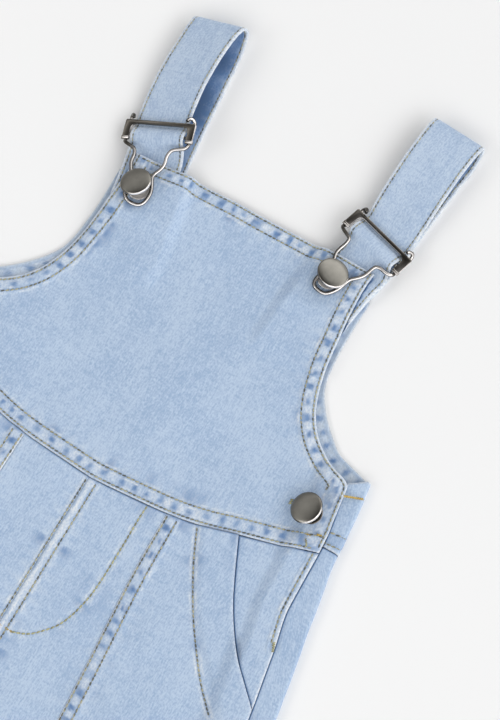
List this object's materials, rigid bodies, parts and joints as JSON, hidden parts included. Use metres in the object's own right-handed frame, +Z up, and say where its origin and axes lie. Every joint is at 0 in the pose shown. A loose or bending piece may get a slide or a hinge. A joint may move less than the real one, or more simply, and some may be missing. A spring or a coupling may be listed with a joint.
{
  "type": "dungarees",
  "caption": "Child's light denim dungarees laid flat: bib with hemmed armholes, hooked buckles on folded straps, side buttons, slanted pockets and straight legs.",
  "frame": {"origin": "middle of the back bib's underside, 45 mm above the lowest point of the front waist seam, on the surface the garment lies on", "axes": "+Y from the legs to the straps, +Z up from the surface, +X to the right as the garment is seen from the front"},
  "size_m": [0.3016, 0.7658, 0.0172],
  "materials": {
    "denim": "light-wash cotton twill, matt, with worn pale edges",
    "denim_inside": "inner face of light-wash cotton twill, matt",
    "denim_strap": "light-wash cotton twill sewn double, matt",
    "nickel": "dark nickel plate, polished",
    "gunmetal": "antique nickel, satin cap with a bright rim"
  },
  "bodies": {
    "root": {"front_bib": "denim", "front_centre_left": "denim", "front_centre_right": "denim", "front_side_left": "denim", "front_side_right": "denim", "pocket_facing_left": "denim", "pocket_facing_right": "denim", "back_leg_left": "denim", "back_leg_right": "denim", "back_bib": "denim_inside", "strap_left": "denim_strap", "strap_right": "denim_strap", "buckle_frame_left": "nickel", "buckle_frame_right": "nickel", "buckle_slide_left": "nickel", "buckle_slide_right": "nickel", "buckle_hook_left": "nickel", "buckle_hook_right": "nickel", "bib_button_left": "gunmetal", "bib_button_right": "gunmetal", "side_button_left": "gunmetal", "side_button_right": "gunmetal"}
  },
  "joints": []
}
